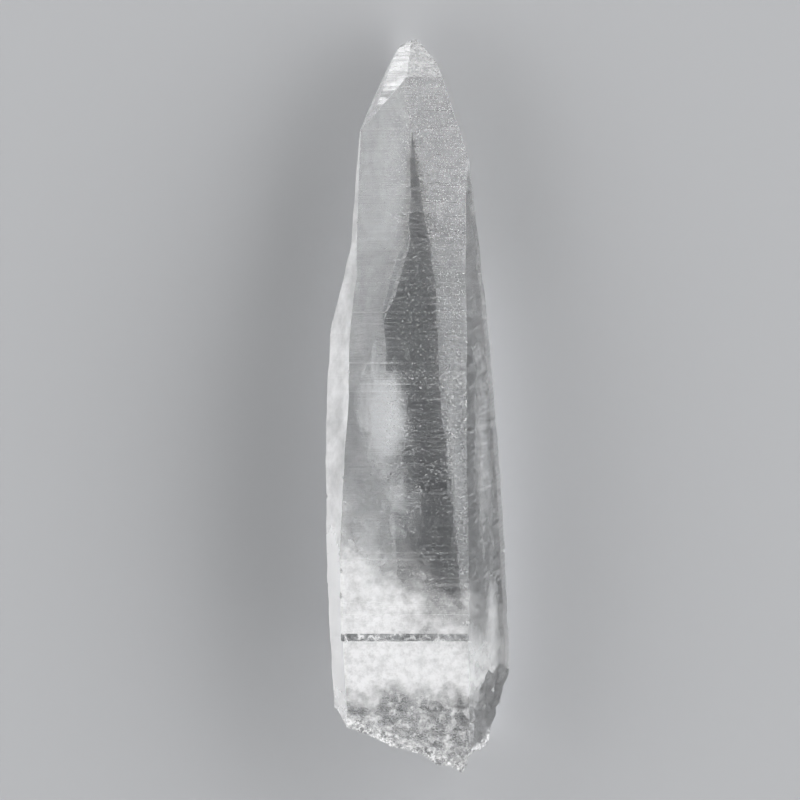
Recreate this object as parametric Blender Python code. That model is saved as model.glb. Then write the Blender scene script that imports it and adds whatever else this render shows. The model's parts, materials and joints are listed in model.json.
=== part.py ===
"""A lemurian quartz crystal: one clear, tapering point with stepped growth ledges and a broken base.

The crystal lies down, with its tip toward +Y and its broken base toward -Y. It rests on the narrow
prism face at its back, which is flat and lies in the plane Z = 0. The origin is under the middle of it.

Sizes are in millimetres, and MM turns them into metres. A "height" is measured along the crystal from
the lowest point of the broken base, and a "distance" is how far a face is from the crystal's own axis.
"""

import math

import bmesh
import bpy
import numpy as np
from mathutils import Matrix, Vector, noise

MM = 0.001

# Driving sizes
LENGTH = 120.64
AXIS_FROM_MIDDLE = -1.2
BODY_START = -8.0
BODY_END = 126.0

# The six faces round the crystal, by the way they look. Quartz keeps 60 degrees between neighbours.
FACE_DIRECTIONS = (90.0, 30.0, -30.0, -90.0, -150.0, 150.0)

# Each face's distance from the axis, as (height, distance), straight between the points
FRONT = ((-8.0, 23.5), (57.0, 23.6), (61.0, 23.33), (61.5, 23.27), (72.0, 20.82), (78.0, 19.3),
         (86.0, 17.9), (94.0, 17.06), (106.0, 14.85), (126.0, 12.9))
RIGHT_FRONT = ((-8.0, 20.2), (28.0, 20.2), (61.0, 19.7), (71.0, 18.64), (81.0, 17.24), (86.0, 16.93),
               (98.0, 16.32), (106.0, 15.99), (126.0, 15.7))
RIGHT_BACK = ((-8.0, 8.6), (20.0, 7.9), (45.0, 6.2), (58.0, 4.6), (61.0, 4.3), (64.0, 4.08),
              (77.0, 3.72), (86.0, 2.85), (94.0, 1.47), (103.0, 0.32), (106.0, -0.13), (112.0, -1.2),
              (126.0, -1.2))
BACK = ((-8.0, 0.0), (126.0, 0.0))
LEFT_BACK = ((-8.0, 0.2), (20.0, 1.0), (36.0, 1.9), (61.0, 3.2), (74.0, 3.54), (79.0, 2.39),
             (87.0, 0.18), (94.0, -0.13), (105.5, -0.21), (109.5, 0.2), (117.0, 0.3), (126.0, -1.3))
LEFT_FRONT = ((-8.0, 20.4), (12.0, 20.8), (22.0, 21.6), (36.0, 21.8), (53.0, 21.1), (61.0, 20.45),
              (64.0, 20.12), (72.0, 19.01), (78.0, 17.72), (81.0, 17.04), (86.0, 16.58), (94.0, 15.93),
              (106.0, 14.46), (126.0, 12.7))

# Growth ledges, as (height, step): going toward the tip, the face steps in by that much
FRONT_LEDGES = ((21.5, 0.46), (25.9, 0.12), (34.9, 0.16), (36.0, 0.10), (50.7, 0.10), (62.5, 0.12),
                (63.7, 0.16), (67.2, 0.12), (75.5, 0.10))
RIGHT_BACK_LEDGES = ((16.5, 0.20), (24.0, 0.26), (29.5, 0.16), (38.0, 0.24), (43.5, 0.14), (49.5, 0.20),
                     (56.0, 0.26), (65.5, 0.16), (71.0, 0.20), (80.5, 0.24), (89.0, 0.16), (97.0, 0.20),
                     (104.0, 0.24), (107.6, 0.28))
LEFT_BACK_LEDGES = ((18.0, 0.22), (27.0, 0.18), (33.0, 0.26), (41.5, 0.16), (52.0, 0.24), (58.5, 0.16),
                    (66.5, 0.22), (73.5, 0.30), (84.5, 0.20), (93.0, 0.16), (100.5, 0.18))
LEDGE_RUN = 7.0
SHARP_RISE = 0.24
SOFT_RISE = 1.8
LEDGE_LEAST_RUN = 0.01

# A step along the edge between the back and left-back faces, where the left-back face stands back
# just above the back face. EDGE_STEP is the share of its full size, as (height, share).
EDGE_STEP_INSET = 0.72
EDGE_STEP_HEIGHT = 1.1
EDGE_STEP = ((72.0, 0.0), (76.0, 1.0), (84.0, 1.0), (89.0, 0.0))

# Each face's profile, its ledges, and how much height a ledge takes to step in: the two wide back faces
# have ledges that water has rounded, and the front has sharp ones
FACES = (
    (FRONT, FRONT_LEDGES, SHARP_RISE),
    (RIGHT_FRONT, (), SHARP_RISE),
    (RIGHT_BACK, RIGHT_BACK_LEDGES, SOFT_RISE),
    (BACK, (), SHARP_RISE),
    (LEFT_BACK, LEFT_BACK_LEDGES, SOFT_RISE),
    (LEFT_FRONT, (), SHARP_RISE),
)
BACK_FACE = 3
NARROW_FACES = (1, 3, 5)

# The faces that close the tip, as (a point of it, the way it looks). Points are (X from axis, height, Z).
# The first looks left, the second forward, the third down, and the last three round the tip's right edge.
TIP_FACES = (
    ((-8.1, 105.5, 14.85), (-0.681, 0.618, 0.393)),
    ((-0.83, 114.4, 14.0), (0.0, 0.81, 0.584)),
    ((-0.2, 120.6, 5.0), (0.0, 0.85, -0.53)),
    ((5.3, 114.4, 13.4), (0.945, 0.325, 0.12)),
    ((5.3, 114.4, 13.4), (0.877, 0.480, 0.12)),
    ((3.0, 118.6, 7.8), (0.683, 0.731, 0.12)),
)

# The break at the base, and the chip on its right, in the same terms. A break's shell ripples run round
# its strike point, and it is hollowed out round its dish point. The seed sets its lumps.
BREAK_POINT = (-0.9, 3.7, 23.5)
BREAK_DIRECTION = (-0.36, -0.86, -0.36)
BREAK_STRIKE = (10.0, -1.0, 24.0)
BREAK_DISH_POINT = (4.0, 9.0, 8.0)
BREAK_DISH_DEPTH = 0.9
BREAK_SEED = 1.0
CHIP_POINT = (13.6, 10.6, 15.0)
CHIP_DIRECTION = (0.93, -0.326, 0.166)
CHIP_STRIKE = (17.0, 18.5, 10.0)
CHIP_DISH_POINT = (12.2, 13.6, 18.8)
CHIP_DISH_DEPTH = 2.1
CHIP_SEED = 5.0
DISH_WIDTH = 5.0
CUTTER_REACH = 26.0
CUTTER_DEPTH = 30.0
CUTTER_CELLS = 46
RIPPLE_LENGTH = 4.6
RIPPLE_HEIGHT = 0.34
RIPPLE_FADE = 22.0
RIPPLE_WANDER = 1.2
RIPPLE_WANDER_SIZE = 9.0
LUMP_SIZE = 6.5
LUMP_HEIGHT = 1.1
CRUMB_SIZE = 1.9
CRUMB_HEIGHT = 0.3
WANDER_SEED_SHIFT = 7.0
CRUMB_SEED_SHIFT = 3.0

# A face narrower than this has run out, and corners nearer than JOIN are one
NARROWEST_FACE = 0.02
JOIN = 0.004
ON_PLANE = 0.002

# Quartz: clear and colourless, with a faintly dulled skin
QUARTZ_COLOUR = (0.86, 0.87, 0.88, 1.0)
QUARTZ_ROUGHNESS = 0.12
QUARTZ_IOR = 1.545


def clear_scene():
    for obj in list(bpy.data.objects):
        bpy.data.objects.remove(obj, do_unlink=True)
    for group in list(bpy.data.collections):
        bpy.data.collections.remove(group)


def new_collection(name):
    group = bpy.data.collections.new(name)
    bpy.context.scene.collection.children.link(group)
    return group


def quartz_material():
    """Clear quartz, which lets light through."""
    material = bpy.data.materials.new("clear_quartz")
    material.use_nodes = True
    shader = material.node_tree.nodes["Principled BSDF"]
    shader.inputs["Base Color"].default_value = QUARTZ_COLOUR
    shader.inputs["Roughness"].default_value = QUARTZ_ROUGHNESS
    shader.inputs["Metallic"].default_value = 0.0
    shader.inputs["IOR"].default_value = QUARTZ_IOR
    shader.inputs["Transmission Weight"].default_value = 1.0
    material.diffuse_color = QUARTZ_COLOUR
    return material


def ledge_points(ledges, rise):
    """A saw-tooth as (height, proud): the face stands proud under each ledge and steps in above it."""
    points = [(BODY_START, 0.0)]
    for height, step in ledges:
        foot = max(points[-1][0] + LEDGE_LEAST_RUN, height - LEDGE_RUN)
        points += [(foot, 0.0), (height - rise / 2, step), (height + rise / 2, 0.0)]
    points.append((BODY_END, 0.0))
    return points


def read_line(points, height):
    return float(np.interp(height, [p[0] for p in points], [p[1] for p in points]))


def stations():
    """The heights at which a section is taken: every height where some face bends or steps."""
    heights = set()
    for profile, ledges, rise in FACES:
        heights.update(round(p[0], 3) for p in profile)
        heights.update(round(p[0], 3) for p in ledge_points(ledges, rise) if ledges)
    heights.update(p[0] for p in EDGE_STEP)
    return sorted(heights)


def crossing(one, other):
    """Where two faces meet in a section. Each is (direction in degrees, distance)."""
    a, b = math.radians(one[0]), math.radians(other[0])
    turn = math.cos(a) * math.sin(b) - math.sin(a) * math.cos(b)
    x = (one[1] * math.sin(b) - other[1] * math.sin(a)) / turn
    z = (other[1] * math.cos(a) - one[1] * math.cos(b)) / turn
    return Vector((x, z))


def section(height):
    """The section's corners. A narrow face that has run out leaves its two corners in one place."""
    lines = [
        (direction, read_line(profile, height) + read_line(ledge_points(ledges, rise), height))
        for direction, (profile, ledges, rise) in zip(FACE_DIRECTIONS, FACES)
    ]
    corners = [crossing(lines[i], lines[(i + 1) % 6]) for i in range(6)]
    for i in NARROW_FACES:
        before, after = corners[i - 1], corners[i]
        along = math.radians(lines[i][0] - 90.0)
        if (after - before).dot(Vector((math.cos(along), math.sin(along)))) < NARROWEST_FACE:
            corners[i - 1] = corners[i] = crossing(lines[i - 1], lines[(i + 1) % 6])
    stepped = edge_step(lines[BACK_FACE], lines[BACK_FACE + 1], corners[BACK_FACE], height)
    return corners[:BACK_FACE] + stepped + corners[BACK_FACE + 1:]


def edge_step(back, left_back, corner, height):
    """The three corners of the step between the back and left-back faces, in one place where it runs out."""
    depth = read_line(EDGE_STEP, height)
    if depth == 0.0:
        return [corner] * 3
    raised = (back[0], back[1] - depth * EDGE_STEP_HEIGHT)
    stepped = (left_back[0], left_back[1] - depth * EDGE_STEP_INSET)
    return [crossing(back, stepped), crossing(raised, stepped), crossing(raised, left_back)]


def loft_body(bm):
    """Skins the sections into one closed prism that tapers, steps and bulges as its faces do."""
    rings = []
    for height in stations():
        rings.append([bm.verts.new((p.x, height, p.y)) for p in section(height)])
    corner_count = len(rings[0])
    for low, high in zip(rings, rings[1:]):
        for i in range(corner_count):
            j = (i + 1) % corner_count
            bm.faces.new((low[i], low[j], high[j], high[i]))
    bm.faces.new(rings[0])
    bm.faces.new(rings[-1])
    bmesh.ops.remove_doubles(bm, verts=bm.verts, dist=JOIN)
    bmesh.ops.dissolve_degenerate(bm, edges=bm.edges, dist=ON_PLANE)
    bmesh.ops.recalc_face_normals(bm, faces=bm.faces)


def cut_flat(bm, point, direction):
    """Cuts away what lies beyond a plane and closes the cut with one flat face."""
    whole = list(bm.verts) + list(bm.edges) + list(bm.faces)
    cut = bmesh.ops.bisect_plane(
        bm, geom=whole, plane_co=point, plane_no=direction, clear_outer=True, dist=ON_PLANE
    )
    rim = [e for e in cut["geom_cut"] if isinstance(e, bmesh.types.BMEdge)]
    bmesh.ops.contextual_create(bm, geom=rim)
    bmesh.ops.recalc_face_normals(bm, faces=bm.faces)


def place_in_metres(bm):
    """From the crystal's own axis and height, in millimetres, to the model's frame, in metres."""
    shift = Matrix.Translation((AXIS_FROM_MIDDLE, -LENGTH / 2, 0.0))
    bmesh.ops.transform(bm, matrix=Matrix.Scale(MM, 4) @ shift, verts=bm.verts)


def lumps(u, v, size, seed):
    """Smooth random lumps of about the given size, between -1 and 1."""
    return noise.noise(Vector((u / size, v / size, seed)))


def break_relief(u, v, strike, dish, dish_depth, seed):
    """How far a broken surface stands off its plane at (u, v): a hollow, shell ripples and lumps."""
    reach = math.hypot(u - strike.x, v - strike.y)
    off = math.hypot(u - dish.x, v - dish.y) / DISH_WIDTH
    wander = RIPPLE_WANDER * lumps(u, v, RIPPLE_WANDER_SIZE, seed + WANDER_SEED_SHIFT)
    ripple = math.sin(2.0 * math.pi * (reach / RIPPLE_LENGTH + wander))
    shell = RIPPLE_HEIGHT * ripple * math.exp(-reach / RIPPLE_FADE)
    crumbs = CRUMB_HEIGHT * lumps(u, v, CRUMB_SIZE, seed + CRUMB_SEED_SHIFT)
    rough = LUMP_HEIGHT * lumps(u, v, LUMP_SIZE, seed) + crumbs
    return shell + rough - dish_depth * math.exp(-off * off / 2.0)


def rough_cutter(name, point, direction, strike, dish, dish_depth, seed, group):
    """A block with one broken, rippled side, which takes away what lies beyond that side."""
    turn = Vector(direction).to_track_quat("Z", "Y").to_matrix().to_4x4()
    place = Matrix.Translation(point) @ turn
    strike_here = place.inverted() @ Vector(strike)
    dish_here = place.inverted() @ Vector(dish)
    bm = bmesh.new()
    grid = bmesh.ops.create_grid(
        bm, x_segments=CUTTER_CELLS, y_segments=CUTTER_CELLS, size=CUTTER_REACH
    )
    for vert in grid["verts"]:
        vert.co.z = break_relief(vert.co.x, vert.co.y, strike_here, dish_here, dish_depth, seed)
    grown = bmesh.ops.extrude_face_region(bm, geom=list(bm.faces))
    for vert in (v for v in grown["geom"] if isinstance(v, bmesh.types.BMVert)):
        vert.co.z = CUTTER_DEPTH
    bmesh.ops.transform(bm, matrix=place, verts=bm.verts)
    place_in_metres(bm)
    bmesh.ops.recalc_face_normals(bm, faces=bm.faces)
    mesh = bpy.data.meshes.new(name)
    bm.to_mesh(mesh)
    bm.free()
    cutter = bpy.data.objects.new(name, mesh)
    cutter.hide_render = True
    cutter.display_type = "WIRE"
    group.objects.link(cutter)
    return cutter


def cut_with(obj, cutter):
    modifier = obj.modifiers.new("cut_" + cutter.name, "BOOLEAN")
    modifier.operation = "DIFFERENCE"
    modifier.solver = "EXACT"
    modifier.object = cutter


def make_crystal(parts, cutters):
    """The whole crystal: its stepped prism, the faces of its tip, and the break and chip at its base."""
    bm = bmesh.new()
    loft_body(bm)
    for point, direction in TIP_FACES:
        cut_flat(bm, point, direction)
    place_in_metres(bm)
    mesh = bpy.data.meshes.new("quartz_crystal")
    bm.to_mesh(mesh)
    bm.free()
    crystal = bpy.data.objects.new("quartz_crystal", mesh)
    crystal.data.materials.append(quartz_material())
    parts.objects.link(crystal)
    base_break = rough_cutter(
        "base_break", BREAK_POINT, BREAK_DIRECTION, BREAK_STRIKE,
        BREAK_DISH_POINT, BREAK_DISH_DEPTH, BREAK_SEED, cutters,
    )
    side_chip = rough_cutter(
        "side_chip", CHIP_POINT, CHIP_DIRECTION, CHIP_STRIKE,
        CHIP_DISH_POINT, CHIP_DISH_DEPTH, CHIP_SEED, cutters,
    )
    cut_with(crystal, base_break)
    cut_with(crystal, side_chip)


def main():
    clear_scene()
    parts = new_collection("lemurian_quartz_crystal")
    cutters = new_collection("cutters")
    make_crystal(parts, cutters)


main()
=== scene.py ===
import json
import math

import bpy
import numpy as np
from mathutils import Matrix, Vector

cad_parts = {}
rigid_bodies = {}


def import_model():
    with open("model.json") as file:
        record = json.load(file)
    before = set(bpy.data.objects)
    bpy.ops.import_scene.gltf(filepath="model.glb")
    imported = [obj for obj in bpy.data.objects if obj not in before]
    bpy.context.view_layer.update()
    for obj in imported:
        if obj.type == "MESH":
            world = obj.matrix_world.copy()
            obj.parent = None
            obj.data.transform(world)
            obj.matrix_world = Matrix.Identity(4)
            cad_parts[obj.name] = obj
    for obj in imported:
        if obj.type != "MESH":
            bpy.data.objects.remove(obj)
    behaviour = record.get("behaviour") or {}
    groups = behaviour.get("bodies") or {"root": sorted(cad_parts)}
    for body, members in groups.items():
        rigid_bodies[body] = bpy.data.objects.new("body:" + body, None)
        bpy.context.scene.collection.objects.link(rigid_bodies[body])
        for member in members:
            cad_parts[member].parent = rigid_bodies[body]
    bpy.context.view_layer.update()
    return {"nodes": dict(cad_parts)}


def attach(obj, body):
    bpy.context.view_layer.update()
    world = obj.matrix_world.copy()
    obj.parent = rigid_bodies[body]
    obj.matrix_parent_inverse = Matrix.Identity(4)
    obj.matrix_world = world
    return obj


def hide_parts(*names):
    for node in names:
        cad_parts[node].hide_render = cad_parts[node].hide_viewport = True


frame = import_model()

bl_info = {
    "name": "Lemurian Quartz Crystal",
    "version": (1, 0, 0),
    "blender": (4, 5, 0),
    "location": "View3D > Sidebar > Quartz",
    "description": "Dresses a clear quartz point with growth lines, etch pits, veils and a crushed base",
    "category": "Object",
}

MM = 0.001
NODE = "quartz_crystal"
CRYSTAL = "quartz_point"

# Past this place along the crystal a face belongs to the tip, and before the other one to the broken base
TIP_STARTS = 30.0 * MM
BASE_ENDS = -30.0 * MM

# The faces that close the tip, by the way each looks, and the way the chip at the base looks
TIP_SMOOTH = (-0.681, 0.618, 0.393)
TIP_ROUGH = (0.0, 0.81, 0.584)
TIP_OTHERS = ((0.0, 0.85, -0.53), (0.945, 0.325, 0.12), (0.877, 0.480, 0.12), (0.683, 0.731, 0.12))
CHIP = (0.93, -0.326, 0.166)

# How each kind of face is finished, from 0 to 1. Frost dulls and ribs it, haze whitens it, low haze whitens
# it only in the lower two thirds, hatch scores it aslant, grain roughens it, crushed breaks it up white and
# lined gives it growth lines. A prism face is known by its angle round the axis, in degrees.
FINISHES = ("frost", "haze", "low_haze", "hatch", "grain", "crushed", "lined")
CLEAR = (0.0, 0.0, 0.0, 0.0, 0.0, 0.0, 1.0)
PRISM_FINISH = {
    90.0: CLEAR,
    30.0: (0.3, 0.02, 0.0, 1.0, 0.0, 0.0, 0.0),
    -30.0: (0.8, 0.02, 1.0, 0.0, 0.0, 0.0, 1.0),
    -90.0: CLEAR,
    -150.0: (0.7, 0.4, 0.15, 0.0, 0.0, 0.0, 1.0),
    150.0: (0.5, 0.5, 0.15, 0.2, 0.0, 0.0, 0.3),
}
TIP_SMOOTH_FINISH = (0.3, 0.22, 0.0, 0.0, 0.0, 0.0, 0.0)
TIP_ROUGH_FINISH = (0.2, 0.02, 0.0, 0.0, 0.4, 0.15, 0.0)
TIP_OTHER_FINISH = (1.0, 0.06, 0.0, 0.0, 0.7, 0.0, 0.0)
BREAK_FINISH = (0.0, 0.1, 0.0, 0.0, 1.0, 1.0, 0.0)
CHIP_FINISH = (0.1, 0.0, 0.0, 0.0, 0.6, 0.12, 0.0)
# The worn edge strips are whitened, partly as wear and partly as a painted highlight line along the edges
WORN_EDGE_HIGHLIGHT_FINISH = (0.3, 0.1, 0.0, 0.0, 1.0, 0.5, 0.0)
NICK_FINISH = (0.0, 0.1, 0.0, 0.0, 1.0, 0.6, 0.0)

# Nicks in the long edges, as (place along, radius) in millimetres, and the edge by the way it looks
NICKS = (
    (60.0, (15.2, 0.5), (14.4, 0.35), (10.4, 0.45), (3.4, 0.55), (1.6, 0.4), (0.2, 0.5), (-2.4, 0.6),
     (-4.2, 0.45), (-9.5, 0.35), (-19.0, 0.4), (-31.0, 0.5), (-37.5, 0.7)),
    (120.0, (5.4, 0.5), (28.6, 0.4), (-12.0, 0.4), (-27.0, 0.5), (-33.0, 0.6)),
    (0.0, (20.0, 0.35), (-6.0, 0.4), (-24.0, 0.5)),
    (180.0, (12.0, 0.4), (-15.0, 0.45), (-30.0, 0.5)),
)
NICK_REACH = 30.0
NICK_OVERHANG = 0.55
NICK_STRETCH = (0.8, 1.5, 0.8)
AXIS_X = -1.2
AXIS_Z = 12.0

# How near a face has to look to a direction to be of its kind: degrees round the axis, or a cosine
SAME_ANGLE = 1.5
SAME_WAY = 0.9995
CHIP_WAY = 0.5
CHIP_STARTS = 7.0

# The quartz's own index of refraction, and the band where its etch pits are dense, in millimetres
QUARTZ_IOR = 1.545
PIT_BAND = 4.1
PIT_BAND_WIDTH = 1.4

# The slot under the large ledge, as its place along and half its width, in millimetres
SLOT = -38.2
SLOT_WIDTH = 0.62

# The way the break looks, and how far along that way it lies from the origin, in millimetres
BREAK_WAY = tuple(Vector((-0.36, -0.86, -0.36)).normalized())
BREAK_REACH = Vector(BREAK_WAY).dot(Vector((-2.1, -56.6, 23.5)))

# The veils inside, in millimetres and degrees: (centre, length, width, turn, tilt, wave, how thick)
VEILS = (
    ((-5.7, -2.5, 14.0), 27.0, 12.0, 6.0, 24.0, 1.2, 1.5),
    ((-3.6, -15.0, 13.0), 24.0, 10.0, 5.0, 22.0, 2.2, 0.7),
    ((-8.5, -26.0, 12.0), 26.0, 9.0, 0.0, 24.0, 2.2, 1.0),
    ((-6.0, -38.0, 14.0), 26.0, 14.0, 8.0, 20.0, 2.6, 1.0),
    ((4.5, -40.0, 15.0), 20.0, 14.0, -10.0, 14.0, 2.6, 0.8),
    ((0.5, -45.0, 9.0), 16.0, 18.0, 0.0, 18.0, 3.0, 0.9),
    ((9.5, -36.0, 11.0), 30.0, 6.0, 3.0, 40.0, 1.6, 1.0),
    ((6.5, -6.0, 9.5), 50.0, 8.0, 2.8, 55.0, 0.6, 1.1),
)
VEIL_MARGIN = 0.4

# The light from the left and from the right, the height where it ends, the contrast of the picture, and how
# often light may bounce in the crystal
LIGHT_LEFT = 1.75
LIGHT_RIGHT = 3.0
LIGHT_ENDS = (0.66, 0.9)
PICTURE_GAMMA = 0.78
CRYSTAL_BOUNCES = 18
MIRROR_BOUNCES = 10
FLOOR_GAP = 0.05
SENSOR_WIDTH = 36.0

# Helpers

def hex_colour(text):
    """An sRGB hex value as linear red, green, blue and full alpha."""
    parts = [int(text[i:i + 2], 16) / 255 for i in (1, 3, 5)]
    return tuple(c / 12.92 if c <= 0.04045 else ((c + 0.055) / 1.055) ** 2.4 for c in parts) + (1.0,)


def add_node(tree, kind, inputs=None, **settings):
    """One node with its settings. An input given as a socket is linked to it, and any other is a value."""
    made = tree.nodes.new(kind)
    for name, value in settings.items():
        setattr(made, name, value)
    for key, value in (inputs or {}).items():
        if isinstance(value, bpy.types.NodeSocket):
            tree.links.new(value, made.inputs[key])
        else:
            made.inputs[key].default_value = value
    return made


def new_material(name):
    material = bpy.data.materials.new(name)
    material.use_nodes = True
    material.node_tree.nodes.clear()
    return material


def deselect_all():
    if bpy.context.object and bpy.context.object.mode != "OBJECT":
        bpy.ops.object.mode_set(mode="OBJECT")
    bpy.ops.object.select_all(action="DESELECT")


def make_active(piece):
    deselect_all()
    piece.select_set(True)
    bpy.context.view_layer.objects.active = piece


def pick(piece, faces=None, edges=None, points=None):
    """Selects the faces, edges or points that a mask names, and goes to edit mode in that kind."""
    make_active(piece)
    mesh = piece.data
    kind = "FACE" if faces is not None else "EDGE" if edges is not None else "VERT"
    bpy.ops.object.mode_set(mode="EDIT")
    bpy.ops.mesh.select_mode(type=kind)
    bpy.ops.mesh.select_all(action="DESELECT")
    bpy.ops.object.mode_set(mode="OBJECT")
    masks = {"FACE": (mesh.polygons, faces), "EDGE": (mesh.edges, edges), "VERT": (mesh.vertices, points)}
    parts, chosen = masks[kind]
    parts.foreach_set("select", np.asarray(chosen, bool))
    bpy.ops.object.mode_set(mode="EDIT")


def face_normals(mesh):
    out = np.zeros(len(mesh.polygons) * 3, np.float32)
    mesh.polygons.foreach_get("normal", out)
    return out.reshape(-1, 3).astype(float)


def face_centres(mesh):
    out = np.zeros(len(mesh.polygons) * 3, np.float32)
    mesh.polygons.foreach_get("center", out)
    return out.reshape(-1, 3).astype(float)


def points_of(mesh):
    out = np.zeros(len(mesh.vertices) * 3, np.float32)
    mesh.vertices.foreach_get("co", out)
    return out.reshape(-1, 3).astype(float)


def write_attribute(mesh, name, values, domain="FACE"):
    attribute = mesh.attributes.get(name) or mesh.attributes.new(name, "FLOAT", domain)
    attribute.data.foreach_set("value", np.asarray(values, np.float32))


def read_attribute(mesh, name):
    attribute = mesh.attributes[name]
    out = np.zeros(len(attribute.data), np.float32)
    attribute.data.foreach_get("value", out)
    return out


# Settings

class CrystalSettings(bpy.types.PropertyGroup):
    """The crystal's skin, its worn edges and its broken base."""

    edge_wear: bpy.props.FloatProperty(
        name="Edge wear", description="Width of the worn strip along the long edges",
        default=0.16 * MM, min=0.0, max=1.0 * MM, unit="LENGTH", precision=5)
    crumb_size: bpy.props.FloatProperty(
        name="Crumb size", description="Size of the crumbs on the broken faces",
        default=1.1 * MM, unit="LENGTH", precision=5)
    crumb_height: bpy.props.FloatProperty(
        name="Crumb height", description="How far the crumbs stand out",
        default=0.35 * MM, unit="LENGTH", precision=5)
    line_spacing: bpy.props.FloatProperty(
        name="Growth line spacing", description="Distance between the fine lines across the faces",
        default=1.1 * MM, unit="LENGTH", precision=5)
    rib_spacing: bpy.props.FloatProperty(
        name="Rib spacing", description="Distance between the fine ribs on the frosted faces",
        default=0.45 * MM, unit="LENGTH", precision=5)
    line_depth: bpy.props.FloatProperty(
        name="Growth line depth", description="Depth of the fine lines across the faces",
        default=0.02 * MM, unit="LENGTH", precision=6)
    pit_spacing: bpy.props.FloatProperty(
        name="Etch pit spacing", description="Distance between the etch pits",
        default=0.22 * MM, unit="LENGTH", precision=5)
    clear_colour: bpy.props.FloatVectorProperty(
        name="Clear quartz", description="Tint of the clear quartz", subtype="COLOR", size=4,
        default=hex_colour("#FCFCFC"))
    milk_colour: bpy.props.FloatVectorProperty(
        name="Milky quartz", description="Colour of the crushed and milky quartz", subtype="COLOR", size=4,
        default=hex_colour("#F3F3F4"))
    smoke_colour: bpy.props.FloatVectorProperty(
        name="Depth tint", description="Tint that thick quartz takes on", subtype="COLOR", size=4,
        default=hex_colour("#E4E7E9"))


class StageSettings(bpy.types.PropertyGroup):
    """The floor and the camera."""

    floor_colour: bpy.props.FloatVectorProperty(
        name="Floor", description="Colour of the floor", subtype="COLOR", size=4,
        default=hex_colour("#BCBDBF"))
    floor_side: bpy.props.FloatProperty(
        name="Floor side", description="Side of the floor", default=8.0, unit="LENGTH")
    picture_height: bpy.props.FloatProperty(
        name="Picture height", description="Height of what the picture takes in",
        default=132.0 * MM, unit="LENGTH", precision=4)
    camera_distance: bpy.props.FloatProperty(
        name="Camera distance", description="From the camera to the crystal", default=2.2, unit="LENGTH")
    aim: bpy.props.FloatVectorProperty(
        name="Aim", description="The point in the middle of the picture", subtype="TRANSLATION", size=3,
        default=(-2.85 * MM, 0.78 * MM, 12.0 * MM))


# The crystal

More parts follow.
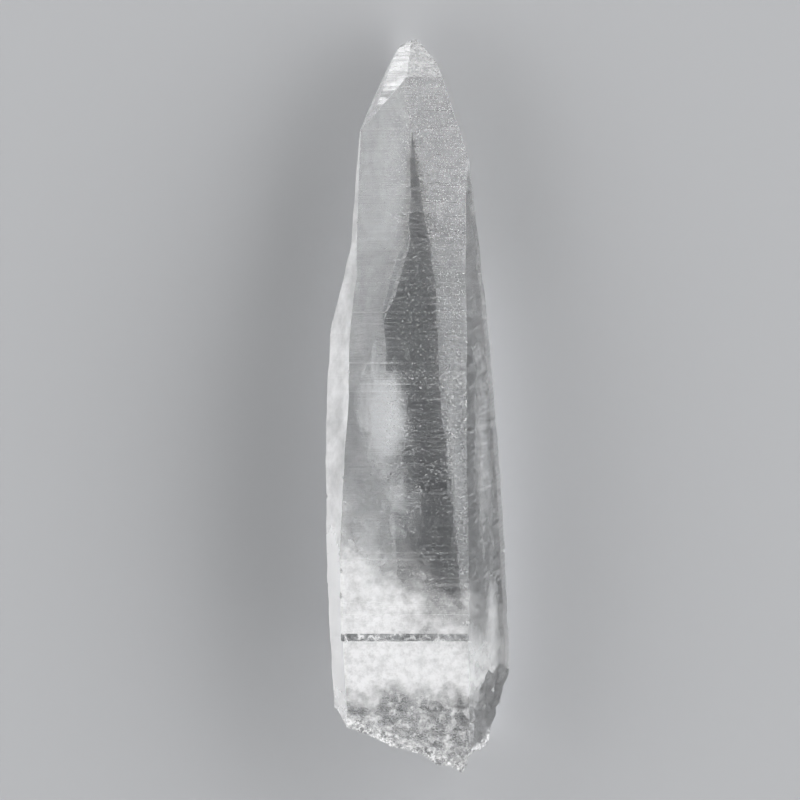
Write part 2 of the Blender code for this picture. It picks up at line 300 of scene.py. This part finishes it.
class QUARTZ_OT_crystal(bpy.types.Operator):
    """Dresses the solid: worn and nicked edges, the worn strips whitened partly as wear and partly as a
    painted highlight, a crumbled break, and clear quartz with lines and pits
    """

    bl_idname = "quartz.crystal"
    bl_label = "Crystal"

    def execute(self, context):
        settings = context.scene.quartz_crystal
        piece = self.copy_solid()
        self.finish_faces(piece)
        self.refine_break(piece, settings)
        self.wear_edges(piece, settings)
        self.nick_edges(piece)
        piece.data.materials.clear()
        piece.data.materials.append(clear_quartz(settings))
        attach(piece, "root")
        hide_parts(NODE)
        return {"FINISHED"}

    def copy_solid(self):
        """A copy of the solid, its loose triangles merged and its flat faces made whole again."""
        piece = bpy.data.objects.new(CRYSTAL, frame["nodes"][NODE].data.copy())
        bpy.context.scene.collection.objects.link(piece)
        make_active(piece)
        if piece.data.has_custom_normals:
            bpy.ops.mesh.customdata_custom_splitnormals_clear()
        bpy.ops.object.mode_set(mode="EDIT")
        bpy.ops.mesh.select_mode(type="VERT")
        bpy.ops.mesh.select_all(action="SELECT")
        bpy.ops.mesh.remove_doubles(threshold=0.002 * MM)
        bpy.ops.mesh.dissolve_limited(angle_limit=math.radians(0.3))
        bpy.ops.object.mode_set(mode="OBJECT")
        return piece

    def finish_faces(self, piece):
        """Gives each face the finish of its kind, by the way that it looks."""
        mesh = piece.data
        normals, centres = face_normals(mesh), face_centres(mesh)
        looks = np.degrees(np.arctan2(normals[:, 2], normals[:, 0]))
        values = np.tile(BREAK_FINISH, (len(normals), 1))
        kind_known = np.zeros(len(normals), bool)
        for direction, finish in PRISM_FINISH.items():
            off = np.abs((looks - direction + 180.0) % 360.0 - 180.0)
            chosen = (off < SAME_ANGLE) & (normals[:, 1] > -0.25)
            values[chosen] = finish
            kind_known |= chosen
        tips = [(TIP_SMOOTH, TIP_SMOOTH_FINISH), (TIP_ROUGH, TIP_ROUGH_FINISH)]
        for direction, finish in tips + [(other, TIP_OTHER_FINISH) for other in TIP_OTHERS]:
            alike = normals @ np.array(Vector(direction).normalized())
            chosen = (alike > SAME_WAY) & (centres[:, 1] > TIP_STARTS)
            values[chosen] = finish
            kind_known |= chosen
        broken = ~kind_known & (centres[:, 1] < BASE_ENDS)
        chip = broken & (normals @ np.array(Vector(CHIP).normalized()) > CHIP_WAY)
        chip &= centres[:, 0] > CHIP_STARTS * MM
        values[chip] = CHIP_FINISH
        values[~kind_known & ~broken] = CLEAR
        for name, column in zip(FINISHES, values.T):
            write_attribute(mesh, name, column)
        write_attribute(mesh, "broken", broken)

    def refine_break(self, piece, settings):
        """Gives the broken faces finer crumbs and splinters than the solid has."""
        mesh = piece.data
        pick(piece, faces=read_attribute(mesh, "broken") > 0.5)
        bpy.ops.mesh.subdivide(number_cuts=3)
        bpy.ops.object.mode_set(mode="OBJECT")
        broken = read_attribute(mesh, "broken") > 0.5
        inner = np.ones(len(mesh.vertices), bool)
        touched = np.zeros(len(mesh.vertices), bool)
        for face, is_broken in zip(mesh.polygons, broken):
            if is_broken:
                touched[list(face.vertices)] = True
            else:
                inner[list(face.vertices)] = False
        group = piece.vertex_groups.new(name="broken")
        group.add([int(i) for i in np.flatnonzero(inner & touched)], 1.0, "REPLACE")
        for name, kind, size, height in (
            ("crumbs", "CLOUDS", settings.crumb_size, settings.crumb_height),
            ("splinters", "VORONOI", settings.crumb_size * 2.2, settings.crumb_height * 0.8),
        ):
            texture = bpy.data.textures.new(name, kind)
            texture.noise_scale = size
            modifier = piece.modifiers.new(name, "DISPLACE")
            modifier.texture = texture
            modifier.texture_coords = "LOCAL"
            modifier.strength = height
            modifier.mid_level = 0.5
            modifier.vertex_group = "broken"
            make_active(piece)
            bpy.ops.object.modifier_apply(modifier=name)
        piece.vertex_groups.clear()
        mesh.polygons.foreach_set("use_smooth", broken)
        mesh.update()

    def wear_edges(self, piece, settings):
        """Bevels the long edges between grown faces, as wear has. The new strips get their own finish,
        whitened partly as wear and partly as a painted highlight line along the edges.
        """
        mesh = piece.data
        normals = face_normals(mesh)
        broken = read_attribute(mesh, "broken") > 0.5
        sides = {}
        for face in mesh.polygons:
            for key in face.edge_keys:
                sides.setdefault(key, []).append(face.index)
        chosen = np.zeros(len(mesh.edges), bool)
        for i, edge in enumerate(mesh.edges):
            pair = sides[edge.key]
            if len(pair) != 2 or broken[pair].any():
                continue
            one, other = normals[pair[0]], normals[pair[1]]
            turned = math.degrees(math.acos(max(-1.0, min(1.0, float(one @ other)))))
            round_axis = abs(math.degrees(math.atan2(one[2], one[0]) - math.atan2(other[2], other[0])))
            round_axis = min(round_axis, 360.0 - round_axis)
            chosen[i] = turned > 25.0 and (round_axis > 20.0 or max(one[1], other[1]) > 0.5 and turned > 35.0)
            a, b = (mesh.vertices[v].co for v in edge.vertices)
            on_ledge = round_axis < 2.0 and abs(a.y - b.y) < 0.02 * MM and (a.y + b.y) / 2 < TIP_STARTS
            chosen[i] = chosen[i] and not on_ledge
        pick(piece, edges=chosen)
        bpy.ops.mesh.bevel(offset=settings.edge_wear, segments=2, affect="EDGES", clamp_overlap=True)
        bpy.ops.object.mode_set(mode="OBJECT")
        strip = np.zeros(len(mesh.polygons), bool)
        mesh.polygons.foreach_get("select", strip)
        refinish(mesh, strip, WORN_EDGE_HIGHLIGHT_FINISH)

    def nick_edges(self, piece):
        """Cuts small nicks into the long edges with one cutter of rough balls, then deletes the cutter."""
        deselect_all()
        balls = []
        for direction, *nicks in NICKS:
            way = Vector((math.cos(math.radians(direction)), 0.0, math.sin(math.radians(direction))))
            for along, radius in nicks:
                outside = Vector((AXIS_X, along, AXIS_Z)) * MM + way * NICK_REACH * MM
                # The edges lean, so the first try lands off the asked place and the second on it
                for _ in range(2):
                    found, nearest, _, _ = piece.closest_point_on_mesh(outside)
                    if not found:
                        raise RuntimeError("no edge near the nick at %.1f mm" % along)
                    outside.y += along * MM - nearest.y
                balls.append((nearest + way * radius * NICK_OVERHANG * MM, radius * MM))
        for place, radius in balls:
            bpy.ops.mesh.primitive_ico_sphere_add(subdivisions=2, radius=radius, location=place)
            bpy.context.object.rotation_euler = (place.y * 900.0, place.y * 500.0, place.y * 700.0)
            bpy.context.object.scale = NICK_STRETCH
            bpy.ops.object.transform_apply(location=True, rotation=True, scale=True)
            bpy.context.object.name = "nick"
        for ball in [o for o in bpy.data.objects if o.name.startswith("nick")]:
            ball.select_set(True)
        bpy.ops.object.join()
        cutter = bpy.context.object
        modifier = piece.modifiers.new("nicks", "BOOLEAN")
        modifier.operation = "DIFFERENCE"
        modifier.solver = "MANIFOLD"
        modifier.object = cutter
        make_active(piece)
        bpy.ops.object.modifier_apply(modifier="nicks")
        bpy.data.objects.remove(cutter, do_unlink=True)
        mesh = piece.data
        centres, normals = face_centres(mesh), face_normals(mesh)
        looks = np.degrees(np.arctan2(normals[:, 2], normals[:, 0]))
        grown = np.abs(looks % 60.0 - 30.0) < SAME_ANGLE
        nicked = np.zeros(len(centres), bool)
        for place, radius in balls:
            nicked |= (np.linalg.norm(centres - np.array(place), axis=1) < radius * 1.6) & ~grown
        refinish(mesh, nicked, NICK_FINISH)


def refinish(mesh, chosen, finish):
    """Gives the chosen faces another finish."""
    for name, value in zip(FINISHES, finish):
        values = read_attribute(mesh, name)
        values[chosen] = value
        write_attribute(mesh, name, values)


def clear_quartz(settings):
    """Rock crystal, grown, etched by water and broken. It gives a clear, glassy body with fine lines across
    its faces, frosted side faces, tiny pits that sparkle, and white, crushed places where it broke."""
    material = new_material("rock_crystal_etched")
    tree = material.node_tree
    place = add_node(tree, "ShaderNodeTexCoord").outputs["Object"]
    in_mm = add_node(tree, "ShaderNodeMapping", {"Vector": place, "Scale": (1 / MM,) * 3}).outputs[0]
    split = add_node(tree, "ShaderNodeSeparateXYZ", {"Vector": in_mm})
    along = split.outputs["Y"]
    frost, haze, low_haze, hatched, grainy, crushed, lined = (
        add_node(tree, "ShaderNodeAttribute", attribute_name=name).outputs["Fac"] for name in FINISHES
    )

    # Fine growth lines run straight across the crystal, and fade in and out along their length
    lines = add_node(tree, "ShaderNodeTexNoise",
                     {"W": along, "Scale": MM / settings.line_spacing, "Detail": 4.0,
                      "Roughness": 0.7}, noise_dimensions="1D").outputs["Fac"]
    sharp_lines = add_node(tree, "ShaderNodeMapRange",
                           {"Value": lines, "From Min": 0.5, "From Max": 0.56}).outputs[0]
    relief = add_node(tree, "ShaderNodeBump",
                      {"Height": sharp_lines, "Distance": settings.line_depth, "Strength": lined}).outputs[0]
    # Thin white hairlines on the growth lines, whiter toward the base: partly whitened steps and partly a
    # painted highlight at the step edges
    on_line = add_node(tree, "ShaderNodeMath", {0: lines, 1: 0.5, 2: 0.012}, operation="COMPARE").outputs[0]
    across = add_node(tree, "ShaderNodeMapping", {"Vector": in_mm, "Scale": (0.12, 1.0, 0.12)}).outputs[0]
    stretch = add_node(tree, "ShaderNodeTexNoise",
                       {"Vector": across, "Scale": 0.8, "Detail": 2.0, "Roughness": 0.6}).outputs["Fac"]
    shown = add_node(tree, "ShaderNodeMapRange",
                     {"Value": stretch, "From Min": 0.4, "From Max": 0.62}).outputs[0]
    on_line = add_node(tree, "ShaderNodeMath", {0: on_line, 1: shown}, operation="MULTIPLY").outputs[0]
    on_line = add_node(tree, "ShaderNodeMath", {0: on_line, 1: lined}, operation="MULTIPLY").outputs[0]
    hairline_whiteness_and_highlight = add_node(tree, "ShaderNodeMapRange",
                          {"Value": along, "From Min": -12.0, "From Max": -34.0, "To Min": 0.1,
                           "To Max": 0.3}).outputs[0]
    hairline_white_and_highlight = add_node(tree, "ShaderNodeMath", {0: on_line, 1: hairline_whiteness_and_highlight}, operation="MULTIPLY").outputs[0]
    # The frosted faces are ribbed all over, by ribs about 0.5 mm apart, drawn out across the crystal
    ribs = add_node(tree, "ShaderNodeTexNoise",
                    {"Vector": across, "Scale": MM / settings.rib_spacing, "Detail": 2.0,
                     "Roughness": 0.55}).outputs["Fac"]
    relief = add_node(tree, "ShaderNodeBump",
                      {"Height": ribs, "Distance": 0.045 * MM, "Strength": frost,
                       "Normal": relief}).outputs[0]
    # The narrow side faces are scored aslant, by fine lines about 0.5 mm apart
    turned = add_node(tree, "ShaderNodeMapping",
                      {"Vector": in_mm, "Rotation": (0.0, 0.0, math.radians(-40.0))}).outputs[0]
    slanted = add_node(tree, "ShaderNodeMapping", {"Vector": turned, "Scale": (0.05, 1.0, 0.05)}).outputs[0]
    scores = add_node(tree, "ShaderNodeTexNoise",
                      {"Vector": slanted, "Scale": 6.0, "Detail": 1.0, "Roughness": 0.6}).outputs["Fac"]
    relief = add_node(tree, "ShaderNodeBump",
                      {"Height": scores, "Distance": 0.003 * MM, "Strength": hatched,
                       "Normal": relief}).outputs[0]
    white_scores = add_node(tree, "ShaderNodeMapRange",
                            {"Value": scores, "From Min": 0.48, "From Max": 0.66, "To Max": 0.2}).outputs[0]
    # Broken faces, worn edges and the rough face of the tip have grains about 0.5 mm across
    grain = add_node(tree, "ShaderNodeTexNoise",
                     {"Vector": in_mm, "Scale": 1.6, "Detail": 5.0, "Roughness": 0.7}).outputs["Fac"]
    relief = add_node(tree, "ShaderNodeBump",
                      {"Height": grain, "Distance": 0.18 * MM, "Strength": grainy,
                       "Normal": relief}).outputs[0]

    # Etch pits: tiny, and denser in a band across the middle. They are drawn a little larger than they
    # are, about 0.2 mm across, so that they show.
    specks = add_node(tree, "ShaderNodeTexNoise",
                      {"Vector": in_mm, "Scale": MM / settings.pit_spacing, "Detail": 1.0}).outputs["Fac"]
    in_band = add_node(tree, "ShaderNodeMath", {0: along, 1: PIT_BAND, 2: PIT_BAND_WIDTH},
                       operation="COMPARE").outputs[0]
    specks = add_node(tree, "ShaderNodeMath", {0: in_band, 1: 0.035, 2: specks},
                      operation="MULTIPLY_ADD").outputs[0]
    pit = add_node(tree, "ShaderNodeMapRange",
                   {"Value": specks, "From Min": 0.58, "From Max": 0.7, "To Max": 0.65}).outputs[0]
    clear_face = add_node(tree, "ShaderNodeMath", {0: frost, 1: 0.05}, operation="LESS_THAN").outputs[0]
    pits = add_node(tree, "ShaderNodeMath", {0: pit, 1: clear_face}, operation="MULTIPLY").outputs[0]
    fewer_left = add_node(tree, "ShaderNodeMapRange",
                          {"Value": split.outputs["X"], "From Min": -6.0, "From Max": -2.5,
                           "To Min": 0.15}).outputs[0]
    pits = add_node(tree, "ShaderNodeMath", {0: pits, 1: fewer_left}, operation="MULTIPLY").outputs[0]

    # White: haze by the face, milk that thickens toward the base and up the left side, crushed quartz where
    # it broke, white hairlines, scores and pits. The white on the worn edge strips is partly a painted
    # highlight along the edges, and the hairlines are partly a painted highlight at the growth steps
    clouds = add_node(tree, "ShaderNodeTexNoise",
                      {"Vector": in_mm, "Scale": 0.2, "Detail": 6.0, "Roughness": 0.62}).outputs["Fac"]
    uneven = add_node(tree, "ShaderNodeMapRange",
                      {"Value": clouds, "From Min": 0.3, "From Max": 0.7, "To Min": 0.7,
                       "To Max": 1.25}).outputs[0]
    lower = add_node(tree, "ShaderNodeMapRange",
                     {"Value": along, "From Min": 30.0, "From Max": 10.0},
                     interpolation_type="SMOOTHSTEP").outputs[0]
    white = add_node(tree, "ShaderNodeMath", {0: lower, 1: low_haze, 2: haze},
                     operation="MULTIPLY_ADD").outputs[0]
    white = add_node(tree, "ShaderNodeMath", {0: white, 1: uneven}, operation="MULTIPLY").outputs[0]
    up_left = add_node(tree, "ShaderNodeVectorMath",
                       {0: in_mm, 1: (0.6, 1.0, 0.0)}, operation="DOT_PRODUCT").outputs["Value"]
    milk_line = add_node(tree, "ShaderNodeMath", {0: clouds, 1: -30.0, 2: up_left},
                         operation="MULTIPLY_ADD").outputs[0]
    milk = add_node(tree, "ShaderNodeMapRange",
                    {"Value": milk_line, "From Min": -36.0, "From Max": -56.0, "To Max": 0.85},
                    interpolation_type="SMOOTHSTEP").outputs[0]
    mottle = add_node(tree, "ShaderNodeTexNoise",
                      {"Vector": in_mm, "Scale": 0.75, "Detail": 6.0, "Roughness": 0.7}).outputs["Fac"]
    thin_milk = add_node(tree, "ShaderNodeMapRange",
                         {"Value": mottle, "From Min": 0.38, "From Max": 0.58, "To Min": 0.72}).outputs[0]
    milk = add_node(tree, "ShaderNodeMath", {0: milk, 1: thin_milk}, operation="MULTIPLY").outputs[0]
    # Less milk on the scored right side face, where the key light falls: painted shade on the lit side
    lit_side_painted_shade = add_node(tree, "ShaderNodeMath", {0: hatched, 1: -0.5, 2: 1.0},
                          operation="MULTIPLY_ADD").outputs[0]
    milk = add_node(tree, "ShaderNodeMath", {0: milk, 1: lit_side_painted_shade}, operation="MULTIPLY").outputs[0]
    # Low down the front is clear again, and the break shows through it
    clear_line = add_node(tree, "ShaderNodeMath", {0: clouds, 1: -14.0, 2: along},
                          operation="MULTIPLY_ADD").outputs[0]
    milky = add_node(tree, "ShaderNodeMapRange",
                     {"Value": clear_line, "From Min": -58.0, "From Max": -52.0},
                     interpolation_type="SMOOTHSTEP").outputs[0]
    flecks = add_node(tree, "ShaderNodeMapRange",
                      {"Value": mottle, "From Min": 0.42, "From Max": 0.66, "To Max": 0.8}).outputs[0]
    milky = add_node(tree, "ShaderNodeMath", {0: milky, 1: flecks}, operation="MAXIMUM").outputs[0]
    milk = add_node(tree, "ShaderNodeMath", {0: milk, 1: milky}, operation="MULTIPLY").outputs[0]
    # The large ledge has a slot under it, clear in short stretches
    in_slot = add_node(tree, "ShaderNodeMath", {0: along, 1: SLOT, 2: SLOT_WIDTH},
                       operation="COMPARE").outputs[0]
    stretches = add_node(tree, "ShaderNodeTexNoise",
                         {"Vector": in_mm, "Scale": 0.9, "Detail": 3.0, "Roughness": 0.7}).outputs["Fac"]
    slot_clear = add_node(tree, "ShaderNodeMapRange",
                          {"Value": stretches, "From Min": 0.4, "From Max": 0.52}).outputs[0]
    slot = add_node(tree, "ShaderNodeMath", {0: in_slot, 1: slot_clear}, operation="MULTIPLY").outputs[0]
    slot = add_node(tree, "ShaderNodeMath", {0: slot, 1: clear_face}, operation="MULTIPLY").outputs[0]
    off_slot = add_node(tree, "ShaderNodeMath", {0: 1.0, 1: slot}, operation="SUBTRACT").outputs[0]
    milk = add_node(tree, "ShaderNodeMath", {0: milk, 1: off_slot}, operation="MULTIPLY").outputs[0]
    grown = add_node(tree, "ShaderNodeMath", {0: grainy, 1: 0.5}, operation="LESS_THAN").outputs[0]
    milk = add_node(tree, "ShaderNodeMath", {0: milk, 1: grown}, operation="MULTIPLY").outputs[0]
    white = add_node(tree, "ShaderNodeMath", {0: white, 1: milk}, operation="MAXIMUM").outputs[0]
    white = add_node(tree, "ShaderNodeMath", {0: white, 1: hairline_white_and_highlight}, operation="MAXIMUM").outputs[0]
    crumbled = add_node(tree, "ShaderNodeMapRange",
                        {"Value": grain, "From Min": 0.4, "From Max": 0.6, "To Min": 0.1}).outputs[0]
    patchy = add_node(tree, "ShaderNodeMapRange",
                      {"Value": mottle, "From Min": 0.4, "From Max": 0.48, "To Min": 0.25}).outputs[0]
    crumbled = add_node(tree, "ShaderNodeMath", {0: crumbled, 1: patchy}, operation="MULTIPLY").outputs[0]
    # Crushed white where the quartz broke or was nicked; on the worn edge strips this white is partly a
    # painted highlight
    crushed_white_and_edge_highlight = add_node(tree, "ShaderNodeMath", {0: crumbled, 1: crushed},
                            operation="MULTIPLY").outputs[0]
    # The faces are bruised white within about 3 mm of the break
    past = add_node(tree, "ShaderNodeVectorMath", {0: in_mm, 1: BREAK_WAY},
                    operation="DOT_PRODUCT").outputs["Value"]
    bruised = add_node(tree, "ShaderNodeMapRange",
                       {"Value": past, "From Min": BREAK_REACH - 3.2, "From Max": BREAK_REACH - 0.4},
                       interpolation_type="SMOOTHSTEP").outputs[0]
    bruise = add_node(tree, "ShaderNodeMath", {0: bruised, 1: crumbled}, operation="MULTIPLY").outputs[0]
    crushed_white_and_edge_highlight = add_node(tree, "ShaderNodeMath", {0: crushed_white_and_edge_highlight, 1: bruise},
                            operation="MAXIMUM").outputs[0]
    white = add_node(tree, "ShaderNodeMath", {0: white, 1: crushed_white_and_edge_highlight}, operation="MAXIMUM").outputs[0]
    scored = add_node(tree, "ShaderNodeMath", {0: white_scores, 1: hatched}, operation="MULTIPLY").outputs[0]
    white = add_node(tree, "ShaderNodeMath", {0: white, 1: scored}, operation="MAXIMUM").outputs[0]
    white = add_node(tree, "ShaderNodeMath", {0: white, 1: pits},
                     operation="MAXIMUM", use_clamp=True).outputs[0]
    clearness = add_node(tree, "ShaderNodeMath", {0: 1.0, 1: white},
                         operation="SUBTRACT", use_clamp=True).outputs[0]
    colour = add_node(tree, "ShaderNodeMix",
                      {0: white, 6: tuple(settings.clear_colour), 7: tuple(settings.milk_colour)},
                      data_type="RGBA").outputs[2]
    frost_depth = add_node(tree, "ShaderNodeMapRange",
                           {"Value": lower, "To Min": 0.12, "To Max": 0.34}).outputs[0]
    rough = add_node(tree, "ShaderNodeMath", {0: frost, 1: frost_depth, 2: 0.015},
                     operation="MULTIPLY_ADD").outputs[0]
    rough = add_node(tree, "ShaderNodeMath", {0: grainy, 1: 0.18, 2: rough},
                     operation="MULTIPLY_ADD").outputs[0]
    rough = add_node(tree, "ShaderNodeMath", {0: milk, 1: 0.25, 2: rough},
                     operation="MULTIPLY_ADD").outputs[0]
    shader = add_node(tree, "ShaderNodeBsdfPrincipled",
                      {"Base Color": colour, "Roughness": rough, "IOR": QUARTZ_IOR, "Metallic": 0.0,
                       "Transmission Weight": clearness, "Normal": relief})
    depth = add_node(tree, "ShaderNodeVolumeAbsorption",
                     {"Color": tuple(settings.smoke_colour), "Density": 8.0})
    add_node(tree, "ShaderNodeOutputMaterial",
             {"Surface": shader.outputs[0], "Volume": depth.outputs[0]})
    return material


# The veils

class QUARTZ_OT_veils(bpy.types.Operator):
    """Adds the milky veils inside the crystal: thin, wavy sheets of tiny bubbles along healed cracks"""

    bl_idname = "quartz.veils"
    bl_label = "Veils"

    def execute(self, context):
        material = healed_crack()
        for number, (centre, length, width, turn, tilt, wave, thick) in enumerate(VEILS):
            veil = self.add_sheet("veil_%02d" % number, centre, length, width, turn, tilt, wave, thick)
            self.trim(veil)
            veil.data.materials.append(material)
            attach(veil, "root")
        return {"FINISHED"}

    def add_sheet(self, name, centre, length, width, turn, tilt, wave, thick):
        """A sheet of the given size, waved, turned round the view's axis and tilted round its own length."""
        deselect_all()
        bpy.ops.mesh.primitive_grid_add(x_subdivisions=36, y_subdivisions=72, size=1.0)
        veil = bpy.context.object
        veil.name = name
        veil.data.name = name
        rim = points_of(veil.data)
        reach = np.hypot(rim[:, 0], rim[:, 1]) * 2.0
        write_attribute(veil.data, "thick", thick * np.clip(1.0 - reach, 0.0, 1.0), domain="POINT")
        veil.scale = (width * MM, length * MM, 1.0)
        bpy.ops.object.transform_apply(location=False, rotation=False, scale=True)
        texture = bpy.data.textures.new(name, "CLOUDS")
        texture.noise_scale = 9.0 * MM
        modifier = veil.modifiers.new("wave", "DISPLACE")
        modifier.texture = texture
        modifier.texture_coords = "LOCAL"
        modifier.strength = wave * MM
        make_active(veil)
        bpy.ops.object.modifier_apply(modifier="wave")
        veil.rotation_euler = (0.0, math.radians(tilt), math.radians(turn))
        veil.location = Vector(centre) * MM
        bpy.ops.object.transform_apply(location=True, rotation=True, scale=True)
        return veil

    def trim(self, veil):
        """Deletes what comes too near the crystal's skin, or outside it."""
        solid = bpy.data.objects[CRYSTAL]
        outside = []
        for point in veil.data.vertices:
            found, nearest, normal, _ = solid.closest_point_on_mesh(point.co)
            outside.append((point.co - nearest).dot(normal) > -VEIL_MARGIN * MM)
        pick(veil, points=outside)
        bpy.ops.mesh.delete(type="VERT")
        bpy.ops.object.mode_set(mode="OBJECT")
        if not veil.data.polygons:
            raise RuntimeError(veil.name + " lies outside the crystal")


def healed_crack():
    """A healed crack in quartz is a sheet of tiny bubbles of water and gas. It gives a white, wispy veil
    that is dense in streaks and see-through between them."""
    material = new_material("healed_crack_bubbles")
    tree = material.node_tree
    place = add_node(tree, "ShaderNodeTexCoord").outputs["Object"]
    drawn_out = add_node(tree, "ShaderNodeMapping",
                         {"Vector": place, "Scale": (0.34 / MM, 0.16 / MM, 0.34 / MM)}).outputs[0]
    wisps = add_node(tree, "ShaderNodeTexNoise",
                     {"Vector": drawn_out, "Scale": 1.0, "Detail": 6.0, "Roughness": 0.62,
                      "Distortion": 0.8}).outputs["Fac"]
    thick = add_node(tree, "ShaderNodeAttribute", attribute_name="thick").outputs["Fac"]
    bubbles = add_node(tree, "ShaderNodeMath", {0: wisps, 1: 1.6, 2: thick},
                       operation="MULTIPLY_ADD").outputs[0]
    alpha = add_node(tree, "ShaderNodeMapRange",
                     {"Value": bubbles, "From Min": 0.8, "From Max": 1.95, "To Max": 0.97},
                     interpolation_type="SMOOTHSTEP").outputs[0]
    shader = add_node(tree, "ShaderNodeBsdfPrincipled",
                      {"Base Color": hex_colour("#FBFCFD"), "Roughness": 0.6, "IOR": 1.33, "Alpha": alpha})
    add_node(tree, "ShaderNodeOutputMaterial", {"Surface": shader.outputs[0]})
    return material


# The stage

class QUARTZ_OT_stage(bpy.types.Operator):
    """Adds the pale floor, the soft light and the camera that looks straight down"""

    bl_idname = "quartz.stage"
    bl_label = "Stage"

    def execute(self, context):
        settings = context.scene.quartz_stage
        self.add_floor(settings)
        self.add_sky(context)
        self.add_camera(context, settings)
        context.scene.view_settings.view_transform = "Standard"
        context.scene.view_settings.gamma = PICTURE_GAMMA
        context.scene.cycles.max_bounces = CRYSTAL_BOUNCES
        context.scene.cycles.transmission_bounces = CRYSTAL_BOUNCES
        context.scene.cycles.glossy_bounces = MIRROR_BOUNCES
        return {"FINISHED"}

    def add_floor(self, settings):
        """Matt card, a hair's breadth under the crystal, so that the two surfaces don't share a plane."""
        deselect_all()
        bpy.ops.mesh.primitive_plane_add(size=settings.floor_side, location=(0.0, 0.0, -FLOOR_GAP * MM))
        floor = bpy.context.object
        floor.name = "floor"
        material = new_material("matt_pale_card")
        tree = material.node_tree
        shader = add_node(tree, "ShaderNodeBsdfPrincipled",
                          {"Base Color": tuple(settings.floor_colour), "Roughness": 0.8})
        add_node(tree, "ShaderNodeOutputMaterial", {"Surface": shader.outputs[0]})
        floor.data.materials.append(material)

    def add_sky(self, context):
        """A light tent: wide soft light from the left and right, brighter on the right, and dark overhead."""
        world = bpy.data.worlds.new("light_tent")
        world.use_nodes = True
        tree = world.node_tree
        tree.nodes.clear()
        way = add_node(tree, "ShaderNodeTexCoord").outputs["Generated"]
        split = add_node(tree, "ShaderNodeSeparateXYZ", {"Vector": way})
        sideways = add_node(tree, "ShaderNodeMath", {0: split.outputs["X"]}, operation="ABSOLUTE").outputs[0]
        width = add_node(tree, "ShaderNodeMapRange",
                         {"Value": sideways, "From Min": 0.2, "From Max": 0.6, "To Min": 0.4},
                         interpolation_type="SMOOTHSTEP").outputs[0]
        height = add_node(tree, "ShaderNodeMapRange",
                          {"Value": split.outputs["Z"], "From Min": LIGHT_ENDS[0], "From Max": LIGHT_ENDS[1],
                           "To Min": 1.0, "To Max": 0.0}, interpolation_type="SMOOTHSTEP").outputs[0]
        lean = add_node(tree, "ShaderNodeMapRange",
                        {"Value": split.outputs["X"], "From Min": -1.0, "To Min": LIGHT_LEFT,
                         "To Max": LIGHT_RIGHT}).outputs[0]
        soft_light = add_node(tree, "ShaderNodeMath", {0: width, 1: height}, operation="MULTIPLY").outputs[0]
        level = add_node(tree, "ShaderNodeMath", {0: soft_light, 1: lean, 2: 0.02},
                         operation="MULTIPLY_ADD").outputs[0]
        shade = add_node(tree, "ShaderNodeBackground",
                         {"Color": hex_colour("#FAFAFA"), "Strength": level})
        add_node(tree, "ShaderNodeOutputWorld", {"Surface": shade.outputs[0]})
        context.scene.world = world

    def add_camera(self, context, settings):
        data = bpy.data.cameras.new("camera")
        data.sensor_width = SENSOR_WIDTH
        data.lens = SENSOR_WIDTH * settings.camera_distance / settings.picture_height
        data.clip_end = 50.0
        data.dof.use_dof = False
        camera = bpy.data.objects.new("camera", data)
        camera.location = Vector(settings.aim) + Vector((0.0, 0.0, settings.camera_distance))
        context.scene.collection.objects.link(camera)
        context.scene.camera = camera


class QUARTZ_PT_panel(bpy.types.Panel):
    """The steps that dress the crystal, and their settings"""

    bl_idname = "QUARTZ_PT_panel"
    bl_label = "Quartz Crystal"
    bl_space_type = "VIEW_3D"
    bl_region_type = "UI"
    bl_category = "Quartz"

    def draw(self, context):
        layout = self.layout
        for group in (context.scene.quartz_crystal, context.scene.quartz_stage):
            box = layout.box()
            for name in group.__annotations__:
                box.prop(group, name)
        for operator in (QUARTZ_OT_crystal, QUARTZ_OT_veils, QUARTZ_OT_stage):
            layout.operator(operator.bl_idname)


CLASSES = (
    CrystalSettings, StageSettings, QUARTZ_OT_crystal, QUARTZ_OT_veils, QUARTZ_OT_stage, QUARTZ_PT_panel,
)


def register():
    for item in CLASSES:
        bpy.utils.register_class(item)
    bpy.types.Scene.quartz_crystal = bpy.props.PointerProperty(type=CrystalSettings)
    bpy.types.Scene.quartz_stage = bpy.props.PointerProperty(type=StageSettings)


def unregister():
    del bpy.types.Scene.quartz_stage
    del bpy.types.Scene.quartz_crystal
    for item in reversed(CLASSES):
        bpy.utils.unregister_class(item)


def main():
    register()
    bpy.ops.quartz.crystal()
    bpy.ops.quartz.veils()
    bpy.ops.quartz.stage()


if __name__ == "__main__":
    main()
